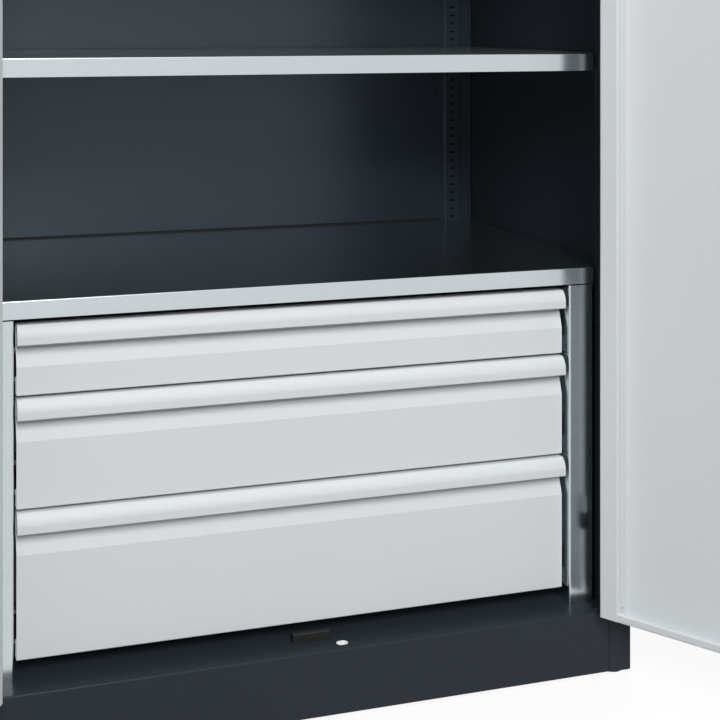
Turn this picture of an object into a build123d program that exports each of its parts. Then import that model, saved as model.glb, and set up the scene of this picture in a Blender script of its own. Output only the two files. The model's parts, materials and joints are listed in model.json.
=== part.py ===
from build123d import *
from math import cos, radians, sin
import os

# A tall steel cabinet: two inset doors, galvanised shelves and a block of three drawers.
# Millimetres, +Z up, front towards -Y. Every piece is drawn from the front plane at y = 0
# with the doors closed. The doors are then swung open and the part is moved to its origin.

# Cabinet body in folded sheet
width = 1000.0
height = 1950.0
depth = 500.0
gauge = 1.2
bend = 2.0
foot_gap = 6.0
floor_top = 97.0
post_face = 37.5
post_depth = 41.0
post_lip = 27.0
post_corner = 4.0
back_flange = 15.0
back_inset = 14.0
head_drop = 38.0
head_return = 40.0
plinth_return = 25.0
seam = 0.7
overrun = 5.0

# Levelling feet in their plates
foot_radius = 16.0
foot_edge = 1.5
stem_radius = 5.0
stem_fit = 0.1
stem_top = 34.0
foot_inset_x = 19.0
foot_inset_y = 22.0
plate_z = 12.0
plate_thick = 4.0
plate_reach = 20.0

# Shelf slots, rear rails and clips
slot_pitch = 15.0
slot_wide = 9.0
slot_high = 3.6
slot_above_cover = 6.4
slot_below_head = 60.0
rail_inset_x = 45.0
rail_face = 31.0
rail_proud = 6.0
rail_flange = 8.0
rail_bend = 1.0
post_slot_inset = 15.0
clip_gauge = 2.0
clip_wide = 8.4
clip_high = 14.0
clip_reach = 16.0
clip_rise = 5.0
clip_tab = 3.0
clip_tab_play = 0.2

# Shelves in galvanised sheet
shelf_gauge = 1.2
shelf_front_y = 32.0
shelf_thick = 26.0
shelf_wall_gap = 1.8
shelf_tongue_gap = 5.5
shelf_post_gap = 5.0
shelf_rail_gap = 0.5
shelf_levels = (19, 40, 61)
shelf_radius = 2.0
cover_top = 602.5
cover_thick = 24.7

# Rubber stop that the doors close against, and the holes in the floor
stop_x = 4.0
stop_long = 56.0
stop_high = 13.0
stop_deep = 9.0
stop_play = 0.5
stop_radius = 1.5
rod_slot_long = 17.0
rod_slot_wide = 11.4
bush_play = 0.2
bush_wall = 0.6
bush_deep = 20.0
drain_radius = 3.3
drain_inset_x = 15.5
drain_y = 11.0

# Frame that carries the drawers
frame_gauge = 1.5
frame_face = 41.0
frame_bend = 2.0
frame_top_gap = 1.8
frame_return = 14.0
frame_back_gap = 8.0
frame_back_flange = 26.0
tie_high = 45.0
tie_deep = 14.0
tie_back_gap = 4.0

# Drawers from the top down
drawer_heights = (96.4, 148.1, 198.1)
drawer_gap = 3.7
drawer_clear_floor = 21.4
drawer_side_gap = 5.0
drawer_nose_y = 33.0
drawer_back_y = 58.0
drawer_gauge = 1.2
lip_high = 27.0
lip_under = 20.5
lip_rise = 2.0
lip_set_back = 6.6
lip_crown = 6.2
lip_radius = 17.0
face_setback = 11.0
slant_high = 31.0
front_bend = 1.4
front_flange = 15.0
tray_back_gap = 20.0
tray_lift = 8.0
tray_drop = 20.0
tray_radius = 3.0
tray_hem = 1.5
tray_hem_high = 8.0

# Telescopic slides in three nested members
slide_gauge = 1.5
slide_high = 45.0
slide_back_gap = 16.0
slide_start = 4.0
slide_lift = 30.0
slide_play = 0.6
slide_flange_gap = 3.5
slide_bend = 1.0

# Doors: folded pans inset between the posts
door_gauge = 1.2
door_bend = 2.0
door_thick = 29.0
door_recess = 0.5
door_post_gap = 2.0
door_meet_gap = 2.0
door_floor_gap = 2.5
door_lip = 26.0
door_lip_slope = 3.5
door_free_lip = 22.0
door_end_lip = 12.0
door_end_return = 6.0
door_open_angle = 126.8
weep_radius = 2.1
weep_rise = 16.0

# Hinges on the front edge of the posts
hinge_inset = 3.0
hinge_barrel = 4.0
hinge_pin = 2.5
hinge_fit = 0.05
hinge_high = 50.0
hinge_split = 0.5
hinge_leaf = 2.0
hinge_leaf_long = 26.0
hinge_leaf_y = 2.0
hinge_end_gap = 120.0
notch_play = 0.6
notch_deep = 6.0

# Stiffener in each door and cover strip on the passive door
rib_wide = 80.0
rib_crown = 36.0
rib_flange = 15.0
rib_deep = 14.0
rib_end_gap = 60.0
strip_wide = 24.0
strip_overlap = 15.0
strip_joggle = 0.6
strip_ramp = 3.0
strip_end_gap = 25.0

# Lock with a crank disc that drives two rods
lock_z = 1050.0
rod_hole_x = 44.2
rod_y = 16.6
rod_radius = 4.0
rod_offset = 7.7
rod_end_gap = 1.0
rod_clear = 1.5
crank_radius = 9.0
crank_angle = 45.0
crank_disc = 12.5
crank_disc_y = 8.8
crank_disc_thick = 3.5
crank_pin = 2.0
crank_pin_end = 21.0
yoke_play = 0.6
yoke_wall = 2.9
yoke_thick = 4.0
shaft_radius = 6.0
shaft_clear = 0.5
shaft_socket = 4.0
shaft_fit = 0.1
case_half_wide = 24.0
case_half_high = 34.0
case_deep = 25.0
case_gauge = 1.2
guide_half = 12.0
guide_thick = 2.0
guide_high = 20.0
guide_deep = 24.0
guide_fit = 0.06
guide_end_gap = 60.0
guide_lock_gap = 150.0
escutcheon_wide = 42.0
escutcheon_high = 120.0
escutcheon_thick = 2.0
escutcheon_radius = 8.0
handle_gap = 0.3
handle_hub = 11.0
handle_hub_long = 6.0
handle_long = 96.0
handle_wide = 22.0
handle_thick = 9.0
handle_radius = 3.0
cylinder_radius = 6.5
cylinder_fit = 0.08
cylinder_deep = 8.0
cylinder_proud = 0.4
key_long = 8.0
key_wide = 1.6
key_deep = 5.0

# Planes and places worked out from the sizes above
half = width / 2
wall_x = half - gauge
opening_x = half - post_face
back_y = depth - back_inset
head_z = height - head_drop
cover_bottom = cover_top - cover_thick
frame_back = back_y - frame_back_gap
frame_inner = opening_x - shelf_tongue_gap - frame_face
drawer_half = frame_inner - drawer_side_gap
door_edge = opening_x - door_post_gap
door_free = door_meet_gap / 2
door_back = door_recess + door_thick
door_skin = door_recess + door_gauge
door_bottom = floor_top + door_floor_gap
door_top = head_z - door_floor_gap
stop_y = door_back + stop_play
hinge_x = opening_x - hinge_inset
hinge_places = (door_bottom + hinge_end_gap, (door_bottom + door_top) / 2, door_top - hinge_end_gap)
slot_first = cover_top + slot_above_cover
slot_count = int((head_z - slot_below_head - slot_first) / slot_pitch) + 1
slot_heights = [slot_first + slot_pitch * row for row in range(slot_count)]
shelf_bottoms = [slot_first + slot_pitch * level + clip_rise for level in shelf_levels]
rail_x = half - rail_inset_x
rail_y = back_y - rail_proud
post_slot_x = opening_x + post_slot_inset
tray_x = frame_inner - 3 * slide_gauge - slide_play - 2 * slide_flange_gap
lock_x = rod_hole_x - rod_offset
hub_back = door_recess - escutcheon_thick - handle_gap
hub_front = hub_back - handle_hub_long
lever_front = hub_front - handle_thick
crank_reach = crank_radius * cos(radians(crank_angle))
crank_rise = crank_radius * sin(radians(crank_angle))


def slab(x_span, y_span, z_span):
    """A block between two values on each axis."""
    spans = (x_span, y_span, z_span)
    sizes = [high - low for low, high in spans]
    middle = [(low + high) / 2 for low, high in spans]
    return Pos(*middle) * Box(*sizes)


def folded(points, thick, radius):
    """The section of a folded sheet whose middle line follows the points."""
    return trace(FilletPolyline(*points, radius=radius), thick)


def upright(section, z_span):
    """A section drawn in plan, standing between two heights."""
    return Pos(0, 0, z_span[0]) * extrude(section, z_span[1] - z_span[0])


def crosswise(section, x_span):
    """A section drawn in y and z, running between two places along X."""
    return Plane.YZ.offset(x_span[0]) * extrude(section, x_span[1] - x_span[0])


def lengthwise(section, y_span):
    """A section drawn in x and z, running between two places along Y."""
    return extrude(Plane.XZ.offset(-y_span[0]) * section, y_span[1] - y_span[0], dir=(0, 1, 0))


def rod_along_y(x, z, radius, y_span):
    """A round bar along Y."""
    return lengthwise(Pos(x, z) * Circle(radius), y_span)


def rod_along_z(x, y, radius, z_span):
    """A round bar along Z."""
    return upright(Pos(x, y) * Circle(radius), z_span)


def mirrored(shape):
    """The same shape on the other side of the cabinet."""
    return mirror(shape, about=Plane.YZ)


def pair(shape):
    """A right-hand and a left-hand piece."""
    return [shape, mirrored(shape)]


def swung(shape):
    """A right-hand door piece, swung open about its hinge line."""
    return shape.rotate(Axis((hinge_x, 0, 0), (0, 0, 1)), door_open_angle)


# Cabinet body

def side_panel():
    """Side wall folded round the front post, rounded at its foot, with hinge notches and shelf slots."""
    mid = gauge / 2
    wall = half - mid
    post = opening_x + mid
    path = [
        (half - back_flange, depth - mid),
        (wall, depth - mid),
        (wall, mid),
        (post, mid),
        (post, post_depth - mid),
        (post + post_lip, post_depth - mid),
    ]
    panel = upright(folded(path, gauge, bend), (foot_gap, height - gauge))
    corner_x = half - post_corner
    corner_z = foot_gap + post_corner
    corner_y = (-overrun, post_corner)
    corner = slab((corner_x, half + overrun), corner_y, (foot_gap - overrun, corner_z))
    panel -= corner - rod_along_y(corner_x, corner_z, post_corner, corner_y)
    notch_x = (opening_x - overrun, opening_x + gauge + hinge_leaf + notch_play)
    notch_half = hinge_high / 2 + notch_play
    cuts = [
        slab(notch_x, (-overrun, notch_deep), (z - notch_half, z + notch_half)) for z in hinge_places
    ]
    slot_y = (post_depth - gauge - overrun, post_depth + overrun)
    slot_x = (post_slot_x - slot_wide / 2, post_slot_x + slot_wide / 2)
    cuts += [slab(slot_x, slot_y, (z - slot_high / 2, z + slot_high / 2)) for z in slot_heights]
    return panel - cuts


def back_panel():
    """Back sheet, its long edges folded back to the side panels' flanges."""
    mid = gauge / 2
    edge = wall_x - mid
    rear = depth - gauge - bend
    path = [(-edge, rear), (-edge, back_y + mid), (edge, back_y + mid), (edge, rear)]
    return upright(folded(path, gauge, bend), (foot_gap, height - gauge))


def roof_panel():
    """Lid over the side panels, folded down and back over the doors."""
    mid = gauge / 2
    reach = opening_x - seam
    path = [
        (depth - bend, height - mid),
        (mid, height - mid),
        (mid, head_z + mid),
        (head_return, head_z + mid),
    ]
    panel = crosswise(folded(path, gauge, bend), (-reach, reach))
    panel += slab((-half, half), (bend, depth), (height - gauge, height))
    rod_x = lock_x - rod_offset
    return panel - rod_along_z(rod_x, rod_y, rod_slot_wide / 2, (head_z - overrun, head_z + overrun))


def floor_panel():
    """Floor sheet folded down into the plinth, with the rod slot and two drain holes."""
    mid = gauge / 2
    reach = opening_x - seam
    path = [
        (plinth_return, foot_gap + mid),
        (mid, foot_gap + mid),
        (mid, floor_top - mid),
        (post_depth + overrun, floor_top - mid),
    ]
    panel = crosswise(folded(path, gauge, bend), (-reach, reach))
    panel += slab((-wall_x, wall_x), (post_depth + seam, back_y), (floor_top - gauge, floor_top))
    through = (floor_top - overrun, floor_top + overrun)
    panel -= upright(Pos(rod_hole_x, rod_y) * SlotOverall(rod_slot_long, rod_slot_wide), through)
    drain = rod_along_z(opening_x - drain_inset_x, drain_y, drain_radius, through)
    return panel - pair(drain)


def rod_bush():
    """Moulded cup in the floor's slot that the lower rod drops into."""
    long = rod_slot_long - bush_play
    wide = rod_slot_wide - bush_play
    z_span = (floor_top - bush_deep, floor_top)
    bush = upright(Pos(rod_hole_x, rod_y) * SlotOverall(long, wide), z_span)
    pocket = SlotOverall(long - 2 * bush_wall, wide - 2 * bush_wall)
    pocket_z = (z_span[0] + bush_wall, z_span[1] + overrun)
    return bush - upright(Pos(rod_hole_x, rod_y) * pocket, pocket_z)


def rear_shelf_rail():
    """Slotted hat rail on the back panel that the shelf clips hook into."""
    mid = gauge / 2
    left = rail_x - rail_face / 2 + mid
    right = rail_x + rail_face / 2 - mid
    path = [
        (left - rail_flange, back_y - mid),
        (left, back_y - mid),
        (left, rail_y + mid),
        (right, rail_y + mid),
        (right, back_y - mid),
        (right + rail_flange, back_y - mid),
    ]
    rail = upright(folded(path, gauge, rail_bend), (cover_top, head_z))
    slot_x = (rail_x - slot_wide / 2, rail_x + slot_wide / 2)
    slot_y = (rail_y - overrun, rail_y + gauge + mid)
    return rail - [slab(slot_x, slot_y, (z - slot_high / 2, z + slot_high / 2)) for z in slot_heights]


def foot_plates():
    """Plates in the four corners of the base, drilled for the feet."""
    z_span = (plate_z, plate_z + plate_thick)
    foot_x = half - foot_inset_x
    rear_y = back_y - foot_inset_y
    front = slab((opening_x + gauge, wall_x), (gauge, post_depth - gauge), z_span)
    rear = slab((foot_x - plate_reach, wall_x), (rear_y - plate_reach, back_y), z_span)
    plates = []
    for plate, y in ((front, foot_inset_y), (rear, rear_y)):
        plate = fillet(plate.edges().filter_by(Axis.Z), bend)
        through = (plate_z - overrun, plate_z + plate_thick + overrun)
        hole = rod_along_z(foot_x, y, stem_radius + stem_fit, through)
        plates += pair(plate - hole)
    return plates


def levelling_feet():
    """Turned feet: a pad that is chamfered below, on a threaded stem."""
    outline = Polyline(
        (0, 0),
        (foot_radius - foot_edge, 0),
        (foot_radius, foot_edge),
        (foot_radius, foot_gap - foot_edge),
        (stem_radius, foot_gap),
        (stem_radius, stem_top),
        (0, stem_top),
        close=True,
    )
    foot = revolve(Plane.XZ * make_face(outline), Axis.Z)
    foot_x = half - foot_inset_x
    feet = []
    for y in (foot_inset_y, back_y - foot_inset_y):
        feet += pair(Pos(foot_x, y, 0) * foot)
    return feet


def door_stop():
    """Rubber block on the floor behind the meeting edges of the doors."""
    block = slab(
        (stop_x - stop_long / 2, stop_x + stop_long / 2),
        (stop_y, stop_y + stop_deep),
        (floor_top, floor_top + stop_high),
    )
    edges = block.edges() - block.edges().group_by(Axis.Z)[0]
    return fillet(edges, stop_radius)


# Shelves

def shelf_outline(side_x, tongue_x, rear_y, inset):
    """Outline of a shelf that is notched round the posts, drawn in by an inset."""
    step_y = post_depth + shelf_post_gap
    right = [
        (tongue_x - inset, shelf_front_y + inset),
        (tongue_x - inset, step_y + inset),
        (side_x - inset, step_y + inset),
        (side_x - inset, rear_y - inset),
    ]
    left = [(-x, y) for x, y in reversed(right)]
    return make_face(Polyline(*right, *left, close=True))


def shelf(bottom, thick, rear_y):
    """Sheet shelf with its edges folded down all round."""
    side_x = wall_x - shelf_wall_gap
    tongue_x = opening_x - shelf_tongue_gap
    top = bottom + thick
    outer = upright(shelf_outline(side_x, tongue_x, rear_y, 0), (bottom, top))
    front = outer.edges().filter_by(Axis.X).group_by(Axis.Y)[0].sort_by(Axis.Z)[-1]
    outer = fillet(front, shelf_radius)
    inside = shelf_outline(side_x, tongue_x, rear_y, shelf_gauge)
    return outer - upright(inside, (bottom - overrun, top - shelf_gauge))


def shelf_clip(y, x, bottom, inward):
    """Hooked clip: a tab in the slot, a plate on the rail and a ledge under the shelf."""
    side = (x - clip_wide / 2, x + clip_wide / 2)
    slot_z = bottom - clip_rise
    plate_y = sorted((y, y + inward * clip_gauge))
    ledge_y = sorted((y, y + inward * clip_reach))
    tab_y = sorted((y, y - inward * clip_tab))
    tab_half = slot_high / 2 - clip_tab_play
    clip = slab(side, plate_y, (bottom - clip_high, bottom))
    clip += slab(side, ledge_y, (bottom - clip_gauge, bottom))
    return clip + slab(side, tab_y, (slot_z - tab_half, slot_z + tab_half))


def shelf_clips(bottom):
    """The four clips of one shelf."""
    front = shelf_clip(post_depth, post_slot_x, bottom, 1)
    rear = shelf_clip(rail_y, rail_x, bottom, -1)
    return pair(front) + pair(rear)


# Drawer insert

def drawer_frame():
    """Galvanised side frame, folded from one sheet, from the floor to the cover shelf."""
    mid = frame_gauge / 2
    web = frame_inner + mid
    outer = frame_inner + frame_face - mid
    path = [
        (frame_inner + frame_back_flange, frame_back - mid),
        (web, frame_back - mid),
        (web, shelf_front_y + mid),
        (outer, shelf_front_y + mid),
        (outer, shelf_front_y + frame_return),
    ]
    frame = upright(folded(path, frame_gauge, frame_bend), (floor_top, cover_bottom))
    flange_y = (shelf_front_y - overrun, shelf_front_y + frame_return + overrun)
    flange_x = (frame_inner - overrun, frame_inner + frame_face + overrun)
    return frame - slab(flange_x, flange_y, (cover_bottom - frame_top_gap, cover_bottom + overrun))


def drawer_frame_tie():
    """Angle between the side frames, behind the top drawer and under the cover shelf."""
    mid = frame_gauge / 2
    y = frame_back - tie_back_gap
    path = [
        (y, cover_bottom - tie_high),
        (y, cover_bottom - mid),
        (y - tie_deep, cover_bottom - mid),
    ]
    return crosswise(folded(path, frame_gauge, frame_bend), (-frame_inner, frame_inner))


def drawer_spans():
    """The lowest and highest point of each drawer front, from the top drawer down."""
    spans = []
    low = floor_top + drawer_clear_floor
    for high_size in reversed(drawer_heights):
        spans.append((low, low + high_size))
        low += high_size + drawer_gap
    return list(reversed(spans))


def drawer_front(span):
    """Folded front with a grip lip, a finger recess, a slanted and a flat face, and two rear flanges."""
    mid = drawer_gauge / 2
    low, high = span
    nose = drawer_nose_y + mid
    face = drawer_nose_y + face_setback + mid
    rear = drawer_back_y - mid
    lip_low = high - lip_high
    path = [
        (rear, high - tray_drop - front_flange),
        (rear, high - mid),
        (nose + lip_set_back, high - mid),
        (nose, high - lip_crown),
        (nose, lip_low + mid),
        (nose + lip_under, lip_low + lip_rise),
        (face, lip_low - slant_high),
        (face, low + mid),
        (rear, low + mid),
        (rear, low + tray_lift + front_flange),
    ]
    radii = [front_bend, front_bend, lip_radius] + [front_bend] * (len(path) - 5)
    section = folded(path, drawer_gauge, radii)
    return crosswise(section, (-drawer_half, drawer_half))


def drawer_tray(span):
    """Open sheet tray between the slides, with a hem round its sides and back."""
    low, high = span
    bottom = low + tray_lift
    top = high - tray_drop
    y_span = (drawer_back_y, frame_back - tray_back_gap)
    tray = slab((-tray_x, tray_x), y_span, (bottom, top))
    tray = fillet(tray.edges().filter_by(Axis.Z), tray_radius)
    hem_x = tray_x + tray_hem
    hem = slab((-hem_x, hem_x), (y_span[0] + tray_radius, y_span[1] + tray_hem), (top - tray_hem_high, top))
    tray += fillet(hem.edges().filter_by(Axis.Z).group_by(Axis.Y)[-1], tray_radius + tray_hem)
    inside_x = tray_x - drawer_gauge
    inside_y = (y_span[0] + drawer_gauge, y_span[1] - drawer_gauge)
    inside = slab((-inside_x, inside_x), inside_y, (bottom + drawer_gauge, top + overrun))
    return tray - fillet(inside.edges().filter_by(Axis.Z), tray_radius - drawer_gauge)


def channel(web_x, tip_x, middle_z, half_high):
    """Section of a slide member: a web with two flanges that point to tip_x."""
    mid = slide_gauge / 2
    edge = half_high - mid
    path = [
        (tip_x, middle_z + edge),
        (web_x, middle_z + edge),
        (web_x, middle_z - edge),
        (tip_x, middle_z - edge),
    ]
    return folded(path, slide_gauge, slide_bend)


def drawer_slides(span):
    """Outer, middle and inner slide members of one drawer, each as a pair."""
    mid = slide_gauge / 2
    middle_z = span[0] + tray_lift + slide_lift
    step = slide_gauge + slide_play
    y_span = (drawer_back_y + slide_start, frame_back - slide_back_gap)
    outer_half = slide_high / 2
    outer_web = frame_inner - mid
    inner_web = tray_x + mid
    sections = [
        channel(outer_web, inner_web + slide_flange_gap, middle_z, outer_half),
        channel(outer_web - step, inner_web + slide_flange_gap / 2, middle_z, outer_half - step),
        channel(inner_web, outer_web - slide_flange_gap, middle_z, outer_half - 2 * step),
    ]
    return [pair(lengthwise(section, y_span)) for section in sections]


# Doors, drawn closed on the right-hand side

def door_end(z, direction):
    """Folded end of a door pan: the end plate, its lip and the lip's return."""
    mid = door_gauge / 2
    near = z + direction * mid
    far = z + direction * (door_end_lip - mid)
    path = [
        (door_skin, near),
        (door_back - mid, near),
        (door_back - mid, far),
        (door_back - door_end_return, far),
    ]
    between = (door_free + door_free_lip - mid, door_edge - door_lip + mid)
    end = crosswise(folded(path, door_gauge, door_bend), between)
    z_span = sorted((z, z + direction * door_gauge))
    return end + slab((door_free + mid, door_edge - mid), (door_skin, door_back - mid), z_span)


def door_panel():
    """Door pan folded from one sheet, with a closed box edge along the hinges and a hole to drain it."""
    mid = door_gauge / 2
    front = door_recess + mid
    back = door_back - mid
    lip_middle = door_edge - door_lip / 2
    wall = [
        (door_edge - door_lip - door_lip_slope, door_skin),
        (door_edge - door_lip, back),
        (lip_middle, back),
    ]
    path = [
        (lip_middle, back),
        (door_edge - mid, back),
        (door_edge - mid, front),
        (door_free + mid, front),
        (door_free + mid, back),
        (door_free + door_free_lip, back),
    ]
    panel = upright(folded(path, door_gauge, door_bend), (door_bottom, door_top))
    panel += upright(folded(wall, door_gauge, door_bend), (door_bottom, door_top))
    panel += door_end(door_bottom, 1)
    panel += door_end(door_top, -1)
    notch_half = hinge_high / 2 + notch_play
    notch_x = (hinge_x - hinge_barrel - notch_play, door_edge + overrun)
    cuts = [
        slab(notch_x, (-overrun, notch_deep), (z - notch_half, z + notch_half)) for z in hinge_places
    ]
    weep = Pos((door_recess + door_back) / 2, door_bottom + weep_rise) * Circle(weep_radius)
    cuts.append(crosswise(weep, (door_edge - door_lip - 2 * overrun, door_edge - door_lip + overrun)))
    return panel - cuts


def locking_door_panel():
    """The active door's pan, drilled for the handle's shaft and the two rods."""
    y_span = (door_recess - overrun, door_skin + overrun)
    hole = rod_radius + rod_clear
    cuts = [
        rod_along_y(lock_x, lock_z, shaft_radius + shaft_clear, y_span),
        rod_along_z(rod_hole_x, rod_y, hole, (door_bottom - overrun, door_bottom + overrun)),
        rod_along_z(lock_x - rod_offset, rod_y, hole, (door_top - overrun, door_top + overrun)),
    ]
    return door_panel() - cuts


def door_stiffener():
    """Hat rib down the middle of the door, on the back of the skin."""
    mid = door_gauge / 2
    centre = (door_edge + door_free) / 2
    low = door_skin + mid
    high = door_skin + rib_deep
    foot = rib_wide / 2 - rib_flange
    path = [
        (centre - rib_wide / 2, low),
        (centre - foot, low),
        (centre - rib_crown / 2, high),
        (centre + rib_crown / 2, high),
        (centre + foot, low),
        (centre + rib_wide / 2, low),
    ]
    z_span = (door_bottom + rib_end_gap, door_top - rib_end_gap)
    return upright(folded(path, door_gauge, door_bend), z_span)


def cover_strip():
    """Joggled strip on the passive door's lip that the active door closes against."""
    mid = door_gauge / 2
    fixed = door_back + mid
    free = fixed + strip_joggle
    path = [
        (door_free + strip_wide, fixed),
        (door_free + strip_ramp, fixed),
        (door_free, free),
        (-strip_overlap, free),
    ]
    z_span = (door_bottom + strip_end_gap, door_top - strip_end_gap)
    return upright(trace(Polyline(*path), door_gauge), z_span)


def hinge_leaf_part(plates, z_span):
    """A hinge leaf: the barrel round the pin and the plates that carry it."""
    section = Pos(hinge_x, 0) * Circle(hinge_barrel)
    for x_span, y_span in plates:
        middle = ((x_span[0] + x_span[1]) / 2, (y_span[0] + y_span[1]) / 2)
        section += Pos(*middle) * Rectangle(x_span[1] - x_span[0], y_span[1] - y_span[0])
    section -= Pos(hinge_x, 0) * Circle(hinge_pin + hinge_fit)
    return upright(section, z_span)


def hinge_body_leaves():
    """Lower leaves, welded to the inside of the post."""
    inner = opening_x + gauge
    outer = inner + hinge_leaf
    plates = [
        ((hinge_x, outer), (hinge_leaf_y, hinge_leaf_y + hinge_leaf)),
        ((inner, outer), (hinge_leaf_y, hinge_leaf_y + hinge_leaf_long)),
    ]
    low = hinge_high / 2
    high = hinge_split / 2
    return [hinge_leaf_part(plates, (z - low, z - high)) for z in hinge_places]


def hinge_door_leaves():
    """Upper leaves, welded to the back of the door's skin."""
    plates = [((hinge_x - hinge_leaf_long, hinge_x), (door_skin, door_skin + hinge_leaf))]
    low = hinge_split / 2
    high = hinge_high / 2
    return [hinge_leaf_part(plates, (z + low, z + high)) for z in hinge_places]


def hinge_pins():
    """Pins through both leaves."""
    reach = hinge_high / 2
    return [rod_along_z(hinge_x, 0, hinge_pin, (z - reach, z + reach)) for z in hinge_places]


# Lock in the active door

def escutcheon():
    """Plate under the handle."""
    section = Pos(lock_x, lock_z) * RectangleRounded(escutcheon_wide, escutcheon_high, escutcheon_radius)
    section -= Pos(lock_x, lock_z) * Circle(shaft_radius + shaft_clear)
    plate = lengthwise(section, (door_recess - escutcheon_thick, door_recess))
    return fillet(plate.faces().sort_by(Axis.Y)[0].outer_wire().edges(), escutcheon_thick / 2)


def lock_handle():
    """Lever on a hub, with a socket for the shaft and a bore for the key cylinder."""
    lever_x = lock_x + (handle_long - handle_wide) / 2
    bar = lengthwise(Pos(lever_x, lock_z) * SlotOverall(handle_long, handle_wide), (lever_front, hub_front))
    bar = fillet(bar.faces().sort_by(Axis.Y)[0].edges(), handle_radius)
    handle = bar + rod_along_y(lock_x, lock_z, handle_hub, (hub_front, hub_back))
    socket_y = (hub_back - shaft_socket, hub_back + overrun)
    handle -= rod_along_y(lock_x, lock_z, shaft_radius + shaft_fit, socket_y)
    bore_back = lever_front + cylinder_deep + cylinder_fit
    bore = rod_along_y(lock_x, lock_z, cylinder_radius + cylinder_fit, (lever_front - overrun, bore_back))
    return handle - bore


def lock_cylinder():
    """Key cylinder in the handle, with its key slot."""
    y_span = (lever_front - cylinder_proud, lever_front + cylinder_deep)
    barrel = rod_along_y(lock_x, lock_z, cylinder_radius, y_span)
    key = (lock_x - key_wide / 2, lock_x + key_wide / 2)
    key_z = (lock_z - key_long / 2, lock_z + key_long / 2)
    return barrel - slab(key, (y_span[0] - overrun, y_span[0] + key_deep), key_z)


def lock_crank():
    """Shaft with a disc and two pins that drive the rods."""
    disc_back = crank_disc_y + crank_disc_thick
    crank = rod_along_y(lock_x, lock_z, shaft_radius, (hub_back - shaft_socket, crank_disc_y))
    crank += rod_along_y(lock_x, lock_z, crank_disc, (crank_disc_y, disc_back))
    for side in (1, -1):
        pin_x = lock_x + side * crank_reach
        pin_z = lock_z + side * crank_rise
        crank += rod_along_y(pin_x, pin_z, crank_pin, (disc_back, crank_pin_end))
    return crank


def lock_case():
    """Cover over the crank, open towards the skin and where the rods leave."""
    x_span = (lock_x - case_half_wide, lock_x + case_half_wide)
    z_span = (lock_z - case_half_high, lock_z + case_half_high)
    case = slab(x_span, (door_skin, case_deep), z_span)
    inside_x = (x_span[0] + case_gauge, x_span[1] - case_gauge)
    inside_z = (z_span[0] + case_gauge, z_span[1] - case_gauge)
    case -= slab(inside_x, (door_skin - overrun, case_deep - case_gauge), inside_z)
    mouth = rod_offset + rod_radius + rod_clear
    mouth_y = (rod_y - rod_radius - rod_clear, rod_y + rod_radius + rod_clear)
    mouth_z = (z_span[0] - overrun, z_span[1] + overrun)
    return case - slab((lock_x - mouth, lock_x + mouth), mouth_y, mouth_z)


def lock_rod(side, end_z):
    """Rod from a slotted yoke at the crank to the end of the door."""
    yoke_z = lock_z + side * crank_rise
    grip = crank_pin + yoke_play
    slot_x = sorted((lock_x + side * (crank_reach - grip), lock_x + side * (crank_radius + grip)))
    plate_x = (slot_x[0] - yoke_wall, slot_x[1] + yoke_wall)
    plate_z = (yoke_z - grip - yoke_wall, yoke_z + grip + yoke_wall)
    thick = (rod_y - yoke_thick / 2, rod_y + yoke_thick / 2)
    start_z = yoke_z - side * (grip + yoke_wall / 2)
    rod = slab(plate_x, thick, plate_z)
    rod += rod_along_z(lock_x + side * rod_offset, rod_y, rod_radius, sorted((start_z, end_z)))
    return rod - slab(slot_x, (thick[0] - overrun, thick[1] + overrun), (yoke_z - grip, yoke_z + grip))


def rod_guides():
    """Angle brackets on the skin that the rods slide through."""
    places = [
        (1, door_bottom + guide_end_gap),
        (1, lock_z - guide_lock_gap),
        (-1, lock_z + guide_lock_gap),
        (-1, door_top - guide_end_gap),
    ]
    guides = []
    for side, z in places:
        x = lock_x + side * rod_offset
        x_span = (x - guide_half, x + guide_half)
        guide = slab(x_span, (door_skin, door_skin + guide_thick), (z, z + guide_high))
        guide += slab(x_span, (door_skin, guide_deep), (z, z + guide_thick))
        hole = rod_along_z(x, rod_y, rod_radius + guide_fit, (z - overrun, z + guide_high))
        guides.append(guide - hole)
    return guides


# Every node, in the frame of the closed cabinet or with its door swung open

nodes = {}
nodes["side_panel_right"] = [side_panel()]
nodes["side_panel_left"] = [mirrored(side) for side in nodes["side_panel_right"]]
nodes["back_panel"] = [back_panel()]
nodes["roof_panel"] = [roof_panel()]
nodes["floor_panel"] = [floor_panel()]
nodes["rod_bush"] = [rod_bush()]
nodes["rear_shelf_rail_right"] = [rear_shelf_rail()]
nodes["rear_shelf_rail_left"] = [mirrored(rail) for rail in nodes["rear_shelf_rail_right"]]
nodes["foot_plates"] = foot_plates()
nodes["levelling_feet"] = levelling_feet()
nodes["door_stop"] = [door_stop()]

nodes["cover_shelf"] = [shelf(cover_bottom, cover_thick, back_y - shelf_rail_gap)]
for number, bottom in enumerate(shelf_bottoms, 1):
    nodes[f"shelf_{number}"] = [shelf(bottom, shelf_thick, rail_y - shelf_rail_gap)]
    nodes[f"shelf_clips_{number}"] = shelf_clips(bottom)

nodes["drawer_frame_right"] = [drawer_frame()]
nodes["drawer_frame_left"] = [mirrored(drawer_frame())]
nodes["drawer_frame_tie"] = [drawer_frame_tie()]
for number, span in enumerate(drawer_spans(), 1):
    outer, middle, inner = drawer_slides(span)
    nodes[f"drawer_{number}_front"] = [drawer_front(span)]
    nodes[f"drawer_{number}_tray"] = [drawer_tray(span)]
    nodes[f"drawer_{number}_outer_slides"] = outer
    nodes[f"drawer_{number}_middle_slides"] = middle
    nodes[f"drawer_{number}_inner_slides"] = inner

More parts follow.
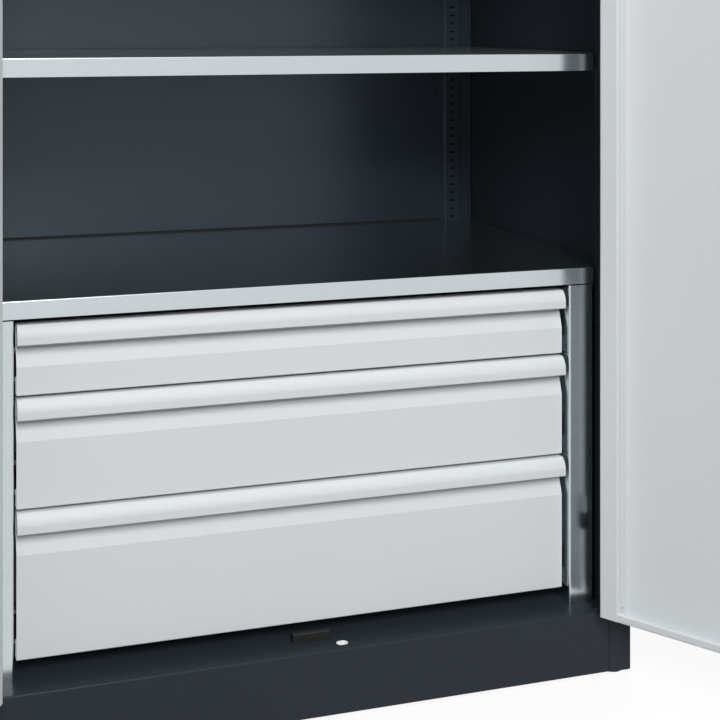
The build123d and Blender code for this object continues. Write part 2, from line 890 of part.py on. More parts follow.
right_door = {
    "door_panel": [locking_door_panel()],
    "door_stiffener": [door_stiffener()],
    "hinge_door_leaves": hinge_door_leaves(),
}
left_door = {
    "door_panel": [door_panel()],
    "door_stiffener": [door_stiffener()],
    "hinge_door_leaves": hinge_door_leaves(),
    "cover_strip": [cover_strip()],
}
lock = {
    "lock_escutcheon": [escutcheon()],
    "lock_handle": [lock_handle()],
    "lock_cylinder": [lock_cylinder()],
    "lock_crank": [lock_crank()],
    "lock_case": [lock_case()],
    "lock_rod_lower": [lock_rod(1, door_bottom + rod_end_gap)],
    "lock_rod_upper": [lock_rod(-1, door_top - rod_end_gap)],
    "lock_rod_guides": rod_guides(),
}
for name, pieces in right_door.items():
    nodes[f"right_{name}"] = [swung(piece) for piece in pieces]
for name, pieces in lock.items():
    nodes[name] = [swung(piece) for piece in pieces]
for name, pieces in left_door.items():
    nodes[f"left_{name}"] = [mirrored(swung(piece)) for piece in pieces]
for name, pieces in (("hinge_body_leaves", hinge_body_leaves()), ("hinge_pins", hinge_pins())):
    nodes[f"right_{name}"] = pieces
    nodes[f"left_{name}"] = [mirrored(piece) for piece in pieces]

# The origin is on the floor, under the middle of the space taken with the doors open
whole = Compound([solid for pieces in nodes.values() for piece in pieces for solid in piece.solids()])
box = whole.bounding_box()
origin_y = (box.min.Y + box.max.Y) / 2

os.makedirs("parts", exist_ok=True)
for name, pieces in nodes.items():
    solids = [solid.moved(Location((0, -origin_y, 0))) for piece in pieces for solid in piece.solids()]
    export_step(Compound(solids), f"parts/{name}.step")
print(len(nodes), "nodes, origin", round(origin_y, 3), "behind the front plane")
print("size", [round(size, 2) for size in box.size], "middle x", round(box.center().X, 4))
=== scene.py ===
import json
from math import pi, radians, tan

import bmesh
import bpy
from mathutils import Matrix, Vector


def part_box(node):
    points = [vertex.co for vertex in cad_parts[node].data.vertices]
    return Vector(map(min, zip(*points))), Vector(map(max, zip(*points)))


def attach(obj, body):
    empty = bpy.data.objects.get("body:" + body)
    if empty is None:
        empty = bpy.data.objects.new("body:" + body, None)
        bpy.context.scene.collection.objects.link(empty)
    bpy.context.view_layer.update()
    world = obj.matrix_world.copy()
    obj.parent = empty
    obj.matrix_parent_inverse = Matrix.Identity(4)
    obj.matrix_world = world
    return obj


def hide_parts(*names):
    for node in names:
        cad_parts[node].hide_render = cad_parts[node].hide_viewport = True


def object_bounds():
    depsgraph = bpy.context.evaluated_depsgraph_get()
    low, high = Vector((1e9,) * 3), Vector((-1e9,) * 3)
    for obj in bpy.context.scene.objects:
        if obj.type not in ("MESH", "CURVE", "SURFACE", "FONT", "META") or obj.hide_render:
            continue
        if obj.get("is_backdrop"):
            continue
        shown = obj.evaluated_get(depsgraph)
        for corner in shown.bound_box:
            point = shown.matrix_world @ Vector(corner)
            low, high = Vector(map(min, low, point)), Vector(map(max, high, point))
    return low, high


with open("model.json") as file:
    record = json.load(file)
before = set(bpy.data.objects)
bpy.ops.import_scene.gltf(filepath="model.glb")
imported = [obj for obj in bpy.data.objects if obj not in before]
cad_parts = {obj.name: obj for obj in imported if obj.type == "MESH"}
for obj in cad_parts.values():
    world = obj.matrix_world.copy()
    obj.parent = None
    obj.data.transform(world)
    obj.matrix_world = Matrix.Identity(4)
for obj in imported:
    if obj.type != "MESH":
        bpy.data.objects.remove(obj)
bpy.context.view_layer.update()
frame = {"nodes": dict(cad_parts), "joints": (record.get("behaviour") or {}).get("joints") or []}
nodes = frame["nodes"]


# Cabinet shell: side walls folded round the front posts, back, roof, floor with its plinth,
# and the slotted rear rails. All are cold-rolled sheet, folded and spot-welded, then coated
# with a fine anthracite powder that leaves a soft satin grain.

grain = bpy.data.node_groups.new("powder_grain", "ShaderNodeTree")
for name, kind, value in (
    ("Colour", "NodeSocketColor", (0.5, 0.5, 0.5, 1.0)),
    ("Shade", "NodeSocketFloat", 0.1),
    ("Roughness", "NodeSocketFloat", 0.4),
    ("Spread", "NodeSocketFloat", 0.1),
):
    grain.interface.new_socket(name=name, in_out="INPUT", socket_type=kind).default_value = value
for name, kind in (
    ("Colour", "NodeSocketColor"),
    ("Roughness", "NodeSocketFloat"),
    ("Height", "NodeSocketFloat"),
):
    grain.interface.new_socket(name=name, in_out="OUTPUT", socket_type=kind)
coat_spread = 0.18
coat_grain_high = 0.0001
cloud_share = 0.55
fine_share = 0.45
grain_in = grain.nodes.new("NodeGroupInput")
grain_out = grain.nodes.new("NodeGroupOutput")
grain_place = grain.nodes.new("ShaderNodeTexCoord")
grain_fine = grain.nodes.new("ShaderNodeTexNoise")
grain_fine.inputs["Scale"].default_value = 1100.0
grain_fine.inputs["Detail"].default_value = 2.0
grain_cloud = grain.nodes.new("ShaderNodeTexNoise")
grain_cloud.inputs["Scale"].default_value = 7.0
grain_cloud.inputs["Detail"].default_value = 3.0
grain_dark = grain.nodes.new("ShaderNodeMix")
grain_dark.data_type = "RGBA"
grain_dark.blend_type = "MULTIPLY"
grain_tone = grain.nodes.new("ShaderNodeMapRange")
grain_tone.inputs["From Min"].default_value = 0.3
grain_tone.inputs["From Max"].default_value = 0.7
grain_tone.inputs["To Min"].default_value = 0.82
grain_tone.inputs["To Max"].default_value = 1.0
grain_blend = grain.nodes.new("ShaderNodeMath")
grain_blend.operation = "MULTIPLY_ADD"
grain_blend.inputs[1].default_value = cloud_share
grain_part = grain.nodes.new("ShaderNodeMath")
grain_part.operation = "MULTIPLY"
grain_part.inputs[1].default_value = fine_share
grain_rough = grain.nodes.new("ShaderNodeMath")
grain_rough.operation = "MULTIPLY_ADD"
grain_centre = grain.nodes.new("ShaderNodeMath")
grain_centre.operation = "SUBTRACT"
grain_centre.inputs[1].default_value = 0.5
for start, end in (
    (grain_place.outputs["Object"], grain_fine.inputs["Vector"]),
    (grain_place.outputs["Object"], grain_cloud.inputs["Vector"]),
    (grain_fine.outputs["Fac"], grain_part.inputs[0]),
    (grain_cloud.outputs["Fac"], grain_blend.inputs[0]),
    (grain_part.outputs[0], grain_blend.inputs[2]),
    (grain_blend.outputs[0], grain_tone.inputs["Value"]),
    (grain_in.outputs["Shade"], grain_dark.inputs["Factor"]),
    (grain_in.outputs["Colour"], grain_dark.inputs["A"]),
    (grain_tone.outputs["Result"], grain_dark.inputs["B"]),
    (grain_blend.outputs[0], grain_centre.inputs[0]),
    (grain_centre.outputs[0], grain_rough.inputs[0]),
    (grain_in.outputs["Spread"], grain_rough.inputs[1]),
    (grain_in.outputs["Roughness"], grain_rough.inputs[2]),
    (grain_dark.outputs["Result"], grain_out.inputs["Colour"]),
    (grain_rough.outputs[0], grain_out.inputs["Roughness"]),
    (grain_fine.outputs["Fac"], grain_out.inputs["Height"]),
):
    grain.links.new(start, end)


def coated(name, colour, roughness, shade, depth, gloss=0.5, tint=(1.0, 1.0, 1.0)):
    """A powder-coated or moulded finish with the shared grain."""
    finish = bpy.data.materials.new(name)
    finish.use_nodes = True
    tree = finish.node_tree
    shader = tree.nodes["Principled BSDF"]
    shader.inputs["Specular IOR Level"].default_value = gloss
    shader.inputs["Specular Tint"].default_value = (*tint, 1.0)
    coat = tree.nodes.new("ShaderNodeGroup")
    coat.node_tree = grain
    coat.inputs["Colour"].default_value = (*colour, 1.0)
    coat.inputs["Shade"].default_value = shade
    coat.inputs["Roughness"].default_value = roughness
    coat.inputs["Spread"].default_value = coat_spread
    bump = tree.nodes.new("ShaderNodeBump")
    bump.inputs["Strength"].default_value = depth
    bump.inputs["Distance"].default_value = coat_grain_high
    tree.links.new(coat.outputs["Colour"], shader.inputs["Base Color"])
    tree.links.new(coat.outputs["Roughness"], shader.inputs["Roughness"])
    tree.links.new(coat.outputs["Height"], bump.inputs["Height"])
    tree.links.new(bump.outputs["Normal"], shader.inputs["Normal"])
    return finish


def paint(finish, *names):
    """Gives a finish to CAD pieces that keep their own shape."""
    for name in names:
        mesh = nodes[name].data
        mesh.materials.clear()
        mesh.materials.append(finish)


anthracite = coated(
    "anthracite_powder_coat", colour=(0.0218, 0.0277, 0.0355),
    roughness=0.34, shade=0.20, depth=0.12, gloss=0.13,
)
paint(anthracite, "side_panel_left", "side_panel_right", "floor_panel")
anthracite_satin = coated(
    "anthracite_satin_coat", colour=(0.020, 0.0265, 0.0345),
    roughness=0.32, shade=0.20, depth=0.08, gloss=0.59, tint=(0.76, 0.88, 1.0),
)
paint(anthracite_satin, "back_panel", "roof_panel", "rear_shelf_rail_left", "rear_shelf_rail_right")


# Shelves and drawer frames: bright galvanised sheet with folded edges. The zinc is rolled
# smooth, so it mirrors its surroundings softly, with faint crystals and rolling lines.

spangle = bpy.data.node_groups.new("zinc_spangle", "ShaderNodeTree")
for name, kind, value in (
    ("Colour", "NodeSocketColor", (0.7, 0.74, 0.76, 1.0)),
    ("Roughness", "NodeSocketFloat", 0.2),
):
    spangle.interface.new_socket(name=name, in_out="INPUT", socket_type=kind).default_value = value
for name, kind in (("Colour", "NodeSocketColor"), ("Roughness", "NodeSocketFloat")):
    spangle.interface.new_socket(name=name, in_out="OUTPUT", socket_type=kind)
roll_spread = 0.04
spangle_in = spangle.nodes.new("NodeGroupInput")
spangle_out = spangle.nodes.new("NodeGroupOutput")
spangle_place = spangle.nodes.new("ShaderNodeTexCoord")
spangle_cell = spangle.nodes.new("ShaderNodeTexVoronoi")
spangle_cell.inputs["Scale"].default_value = 260.0
spangle_roll = spangle.nodes.new("ShaderNodeMapping")
spangle_roll.inputs["Scale"].default_value = (3.0, 260.0, 260.0)
spangle_line = spangle.nodes.new("ShaderNodeTexNoise")
spangle_line.inputs["Scale"].default_value = 1.0
spangle_line.inputs["Detail"].default_value = 3.0
spangle_split = spangle.nodes.new("ShaderNodeSeparateColor")
spangle_tone = spangle.nodes.new("ShaderNodeMapRange")
spangle_tone.inputs["To Min"].default_value = 0.975
spangle_tone.inputs["To Max"].default_value = 1.0
spangle_mix = spangle.nodes.new("ShaderNodeMix")
spangle_mix.data_type = "RGBA"
spangle_mix.blend_type = "MULTIPLY"
spangle_mix.inputs["Factor"].default_value = 1.0
spangle_rough = spangle.nodes.new("ShaderNodeMath")
spangle_rough.operation = "MULTIPLY_ADD"
spangle_rough.inputs[1].default_value = roll_spread
for start, end in (
    (spangle_place.outputs["Object"], spangle_cell.inputs["Vector"]),
    (spangle_place.outputs["Object"], spangle_roll.inputs["Vector"]),
    (spangle_roll.outputs["Vector"], spangle_line.inputs["Vector"]),
    (spangle_cell.outputs["Color"], spangle_split.inputs["Color"]),
    (spangle_split.outputs["Red"], spangle_tone.inputs["Value"]),
    (spangle_in.outputs["Colour"], spangle_mix.inputs["A"]),
    (spangle_tone.outputs["Result"], spangle_mix.inputs["B"]),
    (spangle_line.outputs["Fac"], spangle_rough.inputs[0]),
    (spangle_in.outputs["Roughness"], spangle_rough.inputs[2]),
    (spangle_mix.outputs["Result"], spangle_out.inputs["Colour"]),
    (spangle_rough.outputs[0], spangle_out.inputs["Roughness"]),
):
    spangle.links.new(start, end)


def zinc(name, colour, roughness):
    """A metal finish with the shared zinc surface."""
    finish = bpy.data.materials.new(name)
    finish.use_nodes = True
    tree = finish.node_tree
    shader = tree.nodes["Principled BSDF"]
    shader.inputs["Metallic"].default_value = 1.0
    skin = tree.nodes.new("ShaderNodeGroup")
    skin.node_tree = spangle
    skin.inputs["Colour"].default_value = (*colour, 1.0)
    skin.inputs["Roughness"].default_value = roughness
    tree.links.new(skin.outputs["Colour"], shader.inputs["Base Color"])
    tree.links.new(skin.outputs["Roughness"], shader.inputs["Roughness"])
    return finish


galvanised = zinc("galvanised_sheet", colour=(0.57, 0.622, 0.644), roughness=0.20)
paint(galvanised, "cover_shelf", "shelf_1", "shelf_2", "shelf_3")
paint(galvanised, "drawer_frame_left", "drawer_frame_right", "drawer_frame_tie")
plated = zinc("zinc_plated_steel", colour=(0.52, 0.55, 0.57), roughness=0.28)
paint(plated, "shelf_clips_1", "shelf_clips_2", "shelf_clips_3", "foot_plates")


# Drawer fronts: each is folded from one sheet into a crowned grip lip, a finger recess under
# it, a slanted band and a flat face, with flanges behind that carry the tray. The folds are
# tight, only the crown of the lip is rolled to a large radius, and all is coated light grey.

light_grey = coated(
    "light_grey_powder_coat", colour=(0.62, 0.645, 0.663),
    roughness=0.50, shade=0.10, depth=0.10, gloss=0.3,
)
front_gauge = 0.0012
fold_radius = 0.0014
fold_steps = 4
crown_radius = 0.0195
crown_steps = 10
roll_radius = 0.0034
crease_angle = radians(35.0)
same_place = 1e-6
lip_high = 0.027
lip_crown = 0.0072
lip_set_back = 0.0086
lip_under = 0.0205
lip_rise = 0.002
face_set_back = 0.011
slant_high = 0.031
upper_flange = 0.035
lower_flange = 0.023


def finished(name, mesh, finish, body):
    """A new piece with soft shading over its folds, crisp edges and its finish, riding on a body."""
    mesh.name = name
    mesh.materials.clear()
    mesh.materials.append(finish)
    mesh.polygons.foreach_set("use_smooth", [True] * len(mesh.polygons))
    mesh.set_sharp_from_angle(angle=crease_angle)
    piece = bpy.data.objects.new(name, mesh)
    bpy.context.collection.objects.link(piece)
    piece.modifiers.new("even_shading", "WEIGHTED_NORMAL").keep_sharp = True
    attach(piece, body)
    return piece


def fold_edge(shape, y, z):
    """The straight edge of a sheet that runs along X at one place of its profile."""
    for edge in shape.edges:
        near = all((vert.co.yz - Vector((y, z))).length < same_place for vert in edge.verts)
        if near:
            return edge


def folded_sheet(name, profile, x_span, gauge):
    """A sheet drawn along a profile of (y, z, fold radius) and given its gauge."""
    shape = bmesh.new()
    line = [shape.verts.new((x_span[0], y, z)) for y, z, _ in profile]
    edges = [shape.edges.new(ends) for ends in zip(line, line[1:])]
    drawn = bmesh.ops.extrude_edge_only(shape, edges=edges)["geom"]
    moved = [item for item in drawn if isinstance(item, bmesh.types.BMVert)]
    bmesh.ops.translate(shape, verts=moved, vec=(x_span[1] - x_span[0], 0.0, 0.0))
    for before, here, after in zip(profile, profile[1:], profile[2:]):
        into = Vector(here[:2]) - Vector(before[:2])
        out = Vector(after[:2]) - Vector(here[:2])
        bmesh.ops.bevel(
            shape,
            geom=[fold_edge(shape, here[0], here[1])],
            offset=here[2] * tan(into.angle(out) / 2.0),
            offset_type="OFFSET",
            affect="EDGES",
            segments=crown_steps if here[2] == crown_radius else fold_steps,
            profile=0.5,
            material=-1,
        )
    bmesh.ops.recalc_face_normals(shape, faces=shape.faces)
    thin = bpy.data.meshes.new(f"{name}_sheet")
    shape.to_mesh(thin)
    shape.free()
    blank = bpy.data.objects.new(f"{name}_blank", thin)
    bpy.context.collection.objects.link(blank)
    wall = blank.modifiers.new("gauge", "SOLIDIFY")
    wall.thickness = gauge
    wall.offset = 0.0
    wall.use_even_offset = True
    mesh = bpy.data.meshes.new_from_object(blank.evaluated_get(bpy.context.evaluated_depsgraph_get()))
    bpy.data.objects.remove(blank)
    return mesh


for number in (1, 2, 3):
    low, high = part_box(f"drawer_{number}_front")
    mid = front_gauge / 2.0
    nose = low.y + mid
    rear = high.y - mid
    face = nose + face_set_back
    lip_low = high.z - lip_high
    profile = (
        (rear, high.z - upper_flange, 0.0),
        (rear, high.z - mid, fold_radius),
        (nose + lip_set_back, high.z - mid, roll_radius),
        (nose, high.z - lip_crown, crown_radius),
        (nose, lip_low + mid, fold_radius),
        (nose + lip_under, lip_low + lip_rise, fold_radius),
        (face, lip_low - slant_high, fold_radius),
        (face, low.z + mid, fold_radius),
        (rear, low.z + mid, fold_radius),
        (rear, low.z + lower_flange, 0.0),
    )
    name = f"drawer_{number}_folded_front"
    mesh = folded_sheet(name, profile, (low.x, high.x), front_gauge)
    front = finished(name, mesh, light_grey, f"drawer_{number}")
    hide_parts(f"drawer_{number}_front")


# Drawer trays and slides: open sheet trays with a hem round the top, on zinc-plated slides of
# three members that run out to the full depth. Blind rivets hold the front and the inner
# members to the tray; their heads show inside it.

rivet_radius = 0.0042
rivet_high = 0.0014
rivet_hole = 0.0014
shoulder_share = 0.94
shoulder_rise = 0.45
crown_share = 0.62
hole_floor = rivet_high * 0.2
rivet_outline = (
    (0.0, 0.0),
    (rivet_radius, 0.0),
    (rivet_radius * shoulder_share, rivet_high * shoulder_rise),
    (rivet_radius * crown_share, rivet_high),
    (rivet_hole, rivet_high),
    (rivet_hole, hole_floor),
    (0.0, hole_floor),
)
rivet_steps = 16
front_rivet_shares = (-0.40, -0.13, 0.13, 0.40)
slide_rivet_shares = (0.16, 0.5, 0.84)
tray_gauge = 0.0012
tray_hem = 0.0015
front_rivet_inset = 0.0075


def turned_piece(shape, outline, steps, place, facing):
    """Adds a round piece to a mesh, turned from an outline of (radius, height) about its facing."""
    axis = Vector(facing).normalized()
    across = axis.orthogonal().normalized()
    foot = Vector(place)
    line = [shape.verts.new(foot + across * radius + axis * height) for radius, height in outline]
    edges = [shape.edges.new(ends) for ends in zip(line, line[1:])]
    bmesh.ops.spin(
        shape, geom=line + edges, cent=foot, axis=axis, dvec=(0.0, 0.0, 0.0),
        angle=2.0 * pi, steps=steps, use_merge=True, use_duplicate=False,
    )


def closed_mesh(name, shape):
    """The mesh of a finished shape, its seams merged and its faces turned outwards."""
    bmesh.ops.remove_doubles(shape, verts=shape.verts, dist=same_place)
    bmesh.ops.recalc_face_normals(shape, faces=shape.faces)
    mesh = bpy.data.meshes.new(name)
    shape.to_mesh(mesh)
    shape.free()
    return mesh


for number in (1, 2, 3):
    paint(light_grey, f"drawer_{number}_tray")
    paint(plated, f"drawer_{number}_outer_slides", f"drawer_{number}_middle_slides")
    paint(plated, f"drawer_{number}_inner_slides")
    tray_low, tray_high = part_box(f"drawer_{number}_tray")
    slide_low, slide_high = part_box(f"drawer_{number}_inner_slides")
    heads = bmesh.new()
    wall_y = tray_low.y + tray_gauge
    for share in front_rivet_shares:
        x = share * (tray_high.x - tray_low.x)
        for z in (tray_low.z + front_rivet_inset, tray_high.z - front_rivet_inset):
            turned_piece(heads, rivet_outline, rivet_steps, (x, wall_y, z), (0.0, 1.0, 0.0))
    wall_x = tray_high.x - tray_hem - tray_gauge
    slide_z = (slide_low.z + slide_high.z) / 2.0
    for share in slide_rivet_shares:
        y = slide_low.y + share * (slide_high.y - slide_low.y)
        for side in (1.0, -1.0):
            place = (side * wall_x, y, slide_z)
            turned_piece(heads, rivet_outline, rivet_steps, place, (-side, 0.0, 0.0))
    name = f"drawer_{number}_rivets"
    finished(name, closed_mesh(name, heads), plated, f"drawer_{number}")


# Doors: light grey pans with a closed box edge along the hinges and a hat rib down the
# middle, spot-welded through its two flanges. The hinges are welded steel leaves on pins.

rib_gauge = 0.0012
rib_weld_inset = 0.0075
weld_radius = 0.0034
weld_high = 0.00025
weld_rim_share = 0.85
weld_dish_share = 0.6
weld_dish_rise = 0.4
weld_centre_rise = 0.3
weld_outline = (
    (0.0, 0.0),
    (weld_radius, 0.0),
    (weld_radius * weld_rim_share, weld_high),
    (weld_radius * weld_dish_share, weld_high * weld_dish_rise),
    (0.0, weld_high * weld_centre_rise),
)
weld_steps = 12
weld_pitch = 0.16
weld_end_gap = 0.04
hinge = next(joint for joint in frame["joints"] if joint["name"] == "right_door_hinge")
hinge_line = Vector(hinge["pos_m"])
opened = Matrix.Rotation(radians(-hinge["range_deg"][0]), 4, "Z")
swing = Matrix.Translation(hinge_line) @ opened @ Matrix.Translation(-hinge_line)
inward = opened @ Vector((0.0, 1.0, 0.0))


def shut_box(node):
    """The lowest and highest corners of a piece of the right door, with the door shut."""
    shut = swing.inverted()
    places = [shut @ vert.co for vert in nodes[node].data.vertices]
    low = Vector([min(place[axis] for place in places) for axis in range(3)])
    high = Vector([max(place[axis] for place in places) for axis in range(3)])
    return low, high


paint(light_grey, "left_door_panel", "right_door_panel", "left_door_stiffener", "right_door_stiffener")
paint(light_grey, "left_cover_strip")
rib_low, rib_high = shut_box("right_door_stiffener")
weld_start = rib_low.z + weld_end_gap
weld_run = rib_high.z - weld_end_gap - weld_start
weld_count = round(weld_run / weld_pitch)
for side, hand in (("left", -1.0), ("right", 1.0)):
    paint(light_grey, f"{side}_hinge_door_leaves")
    paint(anthracite, f"{side}_hinge_body_leaves")
    paint(plated, f"{side}_hinge_pins")
    spots = bmesh.new()
    for x in (rib_low.x + rib_weld_inset, rib_high.x - rib_weld_inset):
        for number in range(weld_count + 1):
            z = weld_start + weld_run * number / weld_count
            place = swing @ Vector((x, rib_low.y + rib_gauge, z))
            turned_piece(spots, weld_outline, weld_steps, place, inward)
    bmesh.ops.scale(spots, vec=(hand, 1.0, 1.0), verts=spots.verts)
    name = f"{side}_door_weld_spots"
    finished(name, closed_mesh(name, spots), light_grey, f"{side}_door")


# Lock: a black tapered lever on a hub, over a plate on the front of the right door, with a
# chromed key cylinder in a bright ring. Behind the skin a riveted case holds the crank that
# drives two plated rods through riveted guides.

lever_tip_radius = 0.0082
lever_edge = 0.003
lever_edge_steps = 5
lever_thick = 0.009
bore_radius = 0.0067
ring_radius = 0.0092
ring_high = 0.0012
ring_edge = 0.0005
ring_outline = (
    (bore_radius, 0.0),
    (bore_radius, ring_high - ring_edge),
    (bore_radius + ring_edge, ring_high),
    (ring_radius - ring_edge, ring_high),
    (ring_radius, ring_high - ring_edge),
    (ring_radius, 0.0),
    (bore_radius, 0.0),
)
round_steps = 32
case_rivet_inset = 0.0075
guide_lock_gap = 0.150
guide_high = 0.020
guide_thick = 0.002
guide_half_wide = 0.012
guide_rivet_spread = 0.0075
guide_rivet_rise = 0.012

moulded = coated(
    "black_moulded_plastic", colour=(0.012, 0.012, 0.013), roughness=0.48, shade=0.2, depth=0.2,
)
paint(moulded, "lock_escutcheon", "levelling_feet")
paint(plated, "lock_crank", "lock_case", "lock_rod_lower", "lock_rod_upper", "lock_rod_guides")
chrome = zinc("chromed_cylinder", colour=(0.72, 0.72, 0.73), roughness=0.08)
paint(chrome, "lock_cylinder")

lever_low, lever_high = shut_box("lock_handle")
hub_radius = (lever_high.z - lever_low.z) / 2.0
hub_front = Vector((lever_low.x + hub_radius, lever_low.y, lever_low.z + hub_radius))
lever = bmesh.new()
rim = bmesh.ops.create_circle(lever, segments=round_steps, radius=hub_radius)["verts"]
tip = [vert for vert in rim if vert.co.x > same_place]
slim = lever_tip_radius / hub_radius
bmesh.ops.scale(lever, vec=(slim, slim, 1.0), verts=tip)
bmesh.ops.translate(lever, vec=(lever_high.x - hub_front.x - lever_tip_radius, 0.0, 0.0), verts=tip)
bmesh.ops.create_circle(lever, segments=round_steps, radius=bore_radius)
bmesh.ops.bridge_loops(lever, edges=lever.edges)
raised = bmesh.ops.extrude_face_region(lever, geom=lever.faces)["geom"]
front_verts = [item for item in raised if isinstance(item, bmesh.types.BMVert)]
bmesh.ops.translate(lever, vec=(0.0, 0.0, lever_thick), verts=front_verts)
front_rim = [
    edge
    for edge in lever.edges
    if all(vert in front_verts and vert.co.xy.length > ring_radius for vert in edge.verts)
]
bmesh.ops.bevel(
    lever, geom=front_rim, offset=lever_edge, offset_type="OFFSET", affect="EDGES",
    segments=lever_edge_steps, profile=0.5, material=-1,
)
hub_high = lever_high.y - lever_low.y - lever_thick
bmesh.ops.create_cone(
    lever, cap_ends=True, segments=round_steps, radius1=hub_radius, radius2=hub_radius,
    depth=hub_high, matrix=Matrix.Translation((0.0, 0.0, -hub_high / 2.0)),
)
bmesh.ops.translate(lever, vec=(0.0, 0.0, -lever_thick), verts=lever.verts)
facing_front = Matrix.Rotation(pi / 2.0, 4, "X")
lever_place = swing @ Matrix.Translation(hub_front) @ facing_front
bmesh.ops.transform(lever, matrix=lever_place, verts=lever.verts)
lever_mesh = closed_mesh("lever_handle", lever)
handle = finished("lever_handle", lever_mesh, moulded, "lock_lever")
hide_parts("lock_handle")

ring = bmesh.new()
turned_piece(ring, ring_outline, round_steps, swing @ hub_front, -inward)
finished("key_ring", closed_mesh("key_ring", ring), chrome, "lock_lever")

lock_rivets = bmesh.new()
case_low, case_high = shut_box("lock_case")
for x in (case_low.x + case_rivet_inset, case_high.x - case_rivet_inset):
    for z in (case_low.z + case_rivet_inset, case_high.z - case_rivet_inset):
        place = swing @ Vector((x, case_high.y, z))
        turned_piece(lock_rivets, rivet_outline, rivet_steps, place, inward)
guides_low, guides_high = shut_box("lock_rod_guides")
lower_x = guides_high.x - guide_half_wide
upper_x = guides_low.x + guide_half_wide
lock_z = (case_low.z + case_high.z) / 2.0
for rod_x, z in (
    (lower_x, guides_low.z),
    (lower_x, lock_z - guide_lock_gap),
    (upper_x, lock_z + guide_lock_gap),
    (upper_x, guides_high.z - guide_high),
):
    for offset in (-guide_rivet_spread, guide_rivet_spread):
        place = Vector((rod_x + offset, guides_low.y + guide_thick, z + guide_rivet_rise))
        turned_piece(lock_rivets, rivet_outline, rivet_steps, swing @ place, inward)
finished("lock_rivets", closed_mesh("lock_rivets", lock_rivets), plated, "right_door")


# Door stop: a black rubber block that the meeting edges of the doors close against. It is
# moulded in one piece and fixed to the floor behind the plinth.

# This black is the door stop's own rubber colour. The same black on the cover strip below is painted
# shadow.
rubber_and_shadow_black = coated(
    "black_rubber_and_painted_shadow", colour=(0.008, 0.008, 0.008), roughness=0.62, shade=0.3, depth=0.3, gloss=0.3,
)
paint(rubber_and_shadow_black, "door_stop")


# Cover shadow strip: a thin black strip in the rubber finish, along the rear edge of the cover shelf
# between the rails.
# It is painted shadow: a dark sheet put in the shaded gap where the cover shelf meets the back.

shadow_strip_high = 0.0026
shadow_strip_deep = 0.0022
shadow_strip_round = 0.0014
shadow_strip_steps = 4
shadow_strip_end_gap = 0.001
cover_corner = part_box("cover_shelf")[1]
left_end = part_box("rear_shelf_rail_left")[1].x + shadow_strip_end_gap
right_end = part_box("rear_shelf_rail_right")[0].x - shadow_strip_end_gap
shadow_strip_centre = Vector((0.0, cover_corner.y - shadow_strip_deep / 2.0, cover_corner.z + shadow_strip_high / 2.0))
shadow_strip = bmesh.new()
bmesh.ops.create_cube(shadow_strip, size=1.0)
bmesh.ops.scale(shadow_strip, vec=(right_end - left_end, shadow_strip_deep, shadow_strip_high), verts=shadow_strip.verts)
shadow_strip_nose = [edge for edge in shadow_strip.edges if all(vert.co.y < 0.0 < vert.co.z for vert in edge.verts)]
bmesh.ops.bevel(
    shadow_strip, geom=shadow_strip_nose, offset=shadow_strip_round, offset_type="OFFSET", affect="EDGES",
    segments=shadow_strip_steps, profile=0.5, material=-1,
)
bmesh.ops.translate(shadow_strip, vec=shadow_strip_centre, verts=shadow_strip.verts)
# The strip is painted shadow for the dark gap behind the cover shelf.
finished("cover_painted_shadow_strip", closed_mesh("cover_painted_shadow_strip", shadow_strip), rubber_and_shadow_black, "cabinet")


# Rod bush: a white nylon cup pressed into the floor's slot, where the lower rod drops in. It
# keeps the rod from rattling on the cut edge of the sheet.

nylon = coated("white_nylon", colour=(0.86, 0.86, 0.85), roughness=0.45, shade=0.05, depth=0.05)
paint(nylon, "rod_bush")


# Studio: a pale floor, a white surround, a tall soft lamp high in front, a weaker one far to the
# left and two behind for the back, and a camera at half height that looks level, shifted down
# to the lower right part of the cabinet.

floor_half = 8.0
floor_glow = 0.9
lamp_aim = Vector((0.0, 0.0, 0.6))
world = bpy.data.worlds.new("white_surround")
bpy.context.scene.world = world
world.use_nodes = True
sky = world.node_tree.nodes["Background"]
sky.inputs["Color"].default_value = (1.0, 1.0, 1.0, 1.0)


def seen_rays(tree):
    """A socket that is 1 for rays from the camera and for reflected or refracted ones."""
    ray = tree.nodes.new("ShaderNodeLightPath")
    mirrored = tree.nodes.new("ShaderNodeMath")
    mirrored.operation = "MAXIMUM"
    seen = tree.nodes.new("ShaderNodeMath")
    seen.operation = "MAXIMUM"
    tree.links.new(ray.outputs["Is Glossy Ray"], mirrored.inputs[0])
    tree.links.new(ray.outputs["Is Transmission Ray"], mirrored.inputs[1])
    tree.links.new(ray.outputs["Is Camera Ray"], seen.inputs[0])
    tree.links.new(mirrored.outputs[0], seen.inputs[1])
    return seen.outputs[0]


level = world.node_tree.nodes.new("ShaderNodeMapRange")
level.inputs["To Min"].default_value = 0.21
level.inputs["To Max"].default_value = 1.0
world.node_tree.links.new(seen_rays(world.node_tree), level.inputs["Value"])
world.node_tree.links.new(level.outputs["Result"], sky.inputs["Strength"])

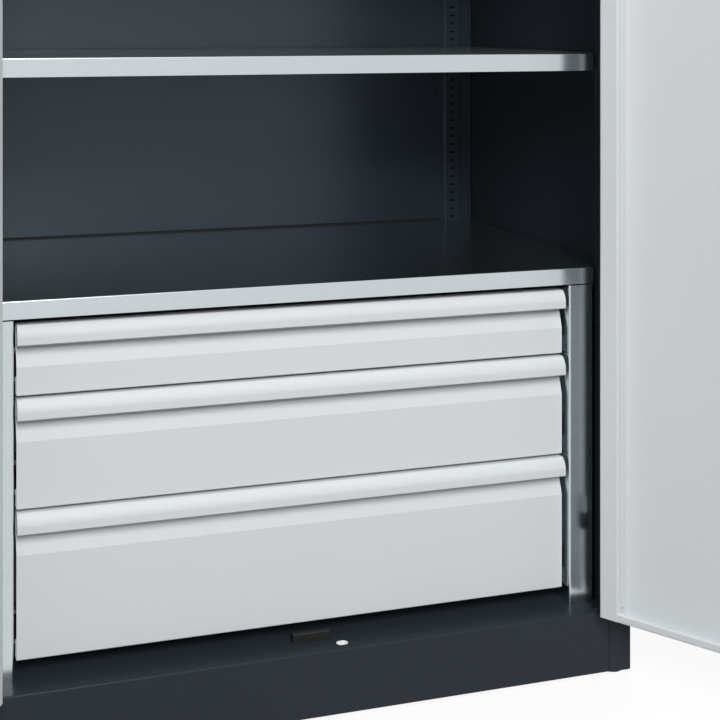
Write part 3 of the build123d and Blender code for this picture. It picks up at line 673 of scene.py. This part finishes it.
floor_mesh = bpy.data.meshes.new("studio_floor")
sheet = bmesh.new()
bmesh.ops.create_grid(sheet, x_segments=1, y_segments=1, size=floor_half)
sheet.to_mesh(floor_mesh)
sheet.free()
floor = bpy.data.objects.new("studio_floor", floor_mesh)
bpy.context.collection.objects.link(floor)
floor_finish = bpy.data.materials.new("studio_white")
floor_finish.use_nodes = True
tree = floor_finish.node_tree
dull = tree.nodes["Principled BSDF"]
dull.inputs["Base Color"].default_value = (0.2, 0.2, 0.2, 1.0)
dull.inputs["Roughness"].default_value = 1.0
pale = tree.nodes.new("ShaderNodeBsdfDiffuse")
pale.inputs["Color"].default_value = (0.9, 0.9, 0.9, 1.0)
glow = tree.nodes.new("ShaderNodeEmission")
lifted = tree.nodes.new("ShaderNodeMixShader")
lifted.inputs["Fac"].default_value = floor_glow
shown = tree.nodes.new("ShaderNodeMixShader")
for start, end in (
    (seen_rays(tree), shown.inputs["Fac"]),
    (pale.outputs["BSDF"], lifted.inputs[1]),
    (glow.outputs["Emission"], lifted.inputs[2]),
    (dull.outputs["BSDF"], shown.inputs[1]),
    (lifted.outputs["Shader"], shown.inputs[2]),
    (shown.outputs["Shader"], tree.nodes["Material Output"].inputs["Surface"]),
):
    tree.links.new(start, end)
floor_mesh.materials.append(floor_finish)
floor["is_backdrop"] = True

for name, place, wide, high, power in (
    ("front_soft_lamp", (-0.75, -5.7, 4.9), 1.7, 3.8, 472.0),
    ("left_soft_lamp", (-4.2, -4.5, 4.8), 4.2, 4.2, 76.0),
    ("rear_left_lamp", (-3.0, 4.0, 3.2), 3.0, 3.0, 180.0),
    ("rear_right_lamp", (3.0, 4.0, 3.2), 3.0, 3.0, 180.0),
):
    lamp_data = bpy.data.lights.new(name, "AREA")
    lamp_data.shape = "RECTANGLE"
    lamp_data.size = wide
    lamp_data.size_y = high
    lamp_data.energy = power
    lamp = bpy.data.objects.new(name, lamp_data)
    bpy.context.collection.objects.link(lamp)
    lamp.location = place
    lamp.rotation_euler = (lamp_aim - Vector(place)).to_track_quat("-Z", "Y").to_euler()

camera_data = bpy.data.cameras.new("camera")
camera_data.sensor_width = 36.0
camera_data.lens = 60.61
camera_data.shift_x = 0.2446
camera_data.shift_y = -0.4721
camera = bpy.data.objects.new("camera", camera_data)
bpy.context.collection.objects.link(camera)
camera.location = (-0.6122, -1.62835, 0.975)
camera.rotation_euler = (radians(90.0), 0.0, radians(-14.936))
bpy.context.scene.camera = camera

bpy.context.scene.view_settings.view_transform = "Standard"

low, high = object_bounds()
